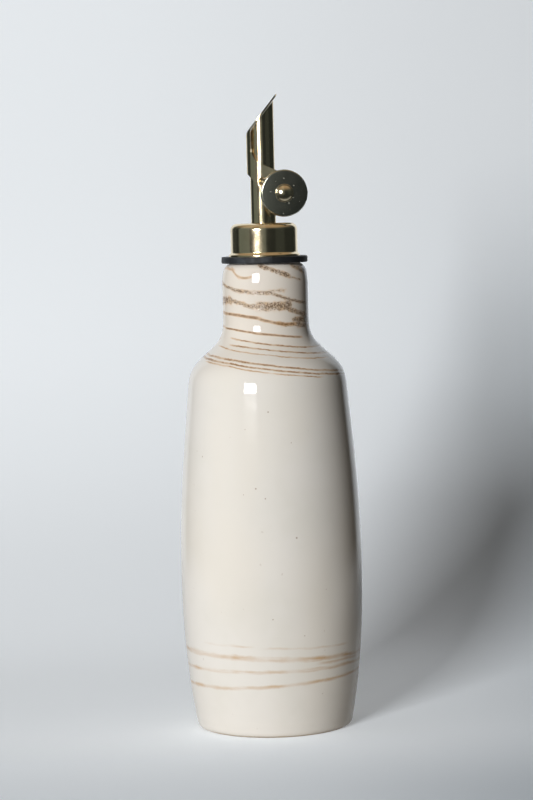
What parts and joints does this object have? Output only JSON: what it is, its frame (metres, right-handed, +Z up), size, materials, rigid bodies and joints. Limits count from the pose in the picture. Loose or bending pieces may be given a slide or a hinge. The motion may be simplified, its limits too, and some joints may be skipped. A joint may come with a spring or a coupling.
{
  "type": "oil dispenser",
  "caption": "Glazed stoneware oil bottle with a rubber-stoppered brass pourer whose weighted flap opens as the bottle is tipped.",
  "frame": {"origin": "centre of the bottle's flat foot, on the table, at the bottom centre of the bounding box", "axes": "+Z up along the bottle's axis, +X the way the spout pours and the weights' side, -Y the front with one of the two weights"},
  "size_m": [0.0712, 0.0712, 0.247],
  "materials": {
    "glaze": "glossy cream stoneware glaze with brushed brown bands and fine speckles",
    "black_rubber": "matt black moulded rubber",
    "brass": "polished pale brass",
    "weight_metal": "fine-turned brass, darker in its reflections"
  },
  "bodies": {
    "bottle_body": {"bottle": "glaze", "stopper": "black_rubber", "cap": "brass", "spout_tube": "brass"},
    "flap_body": {"flap": "brass", "weight_front": "weight_metal", "weight_back": "weight_metal", "rivet_front": "brass", "rivet_back": "brass"}
  },
  "joints": [
    {"name": "flap_hinge", "type": "hinge", "parent": "bottle_body", "child": "flap_body", "pos_m": [0, 0, 0.2128], "axis": [0, -1, 0], "range_deg": [0, 50]}
  ]
}
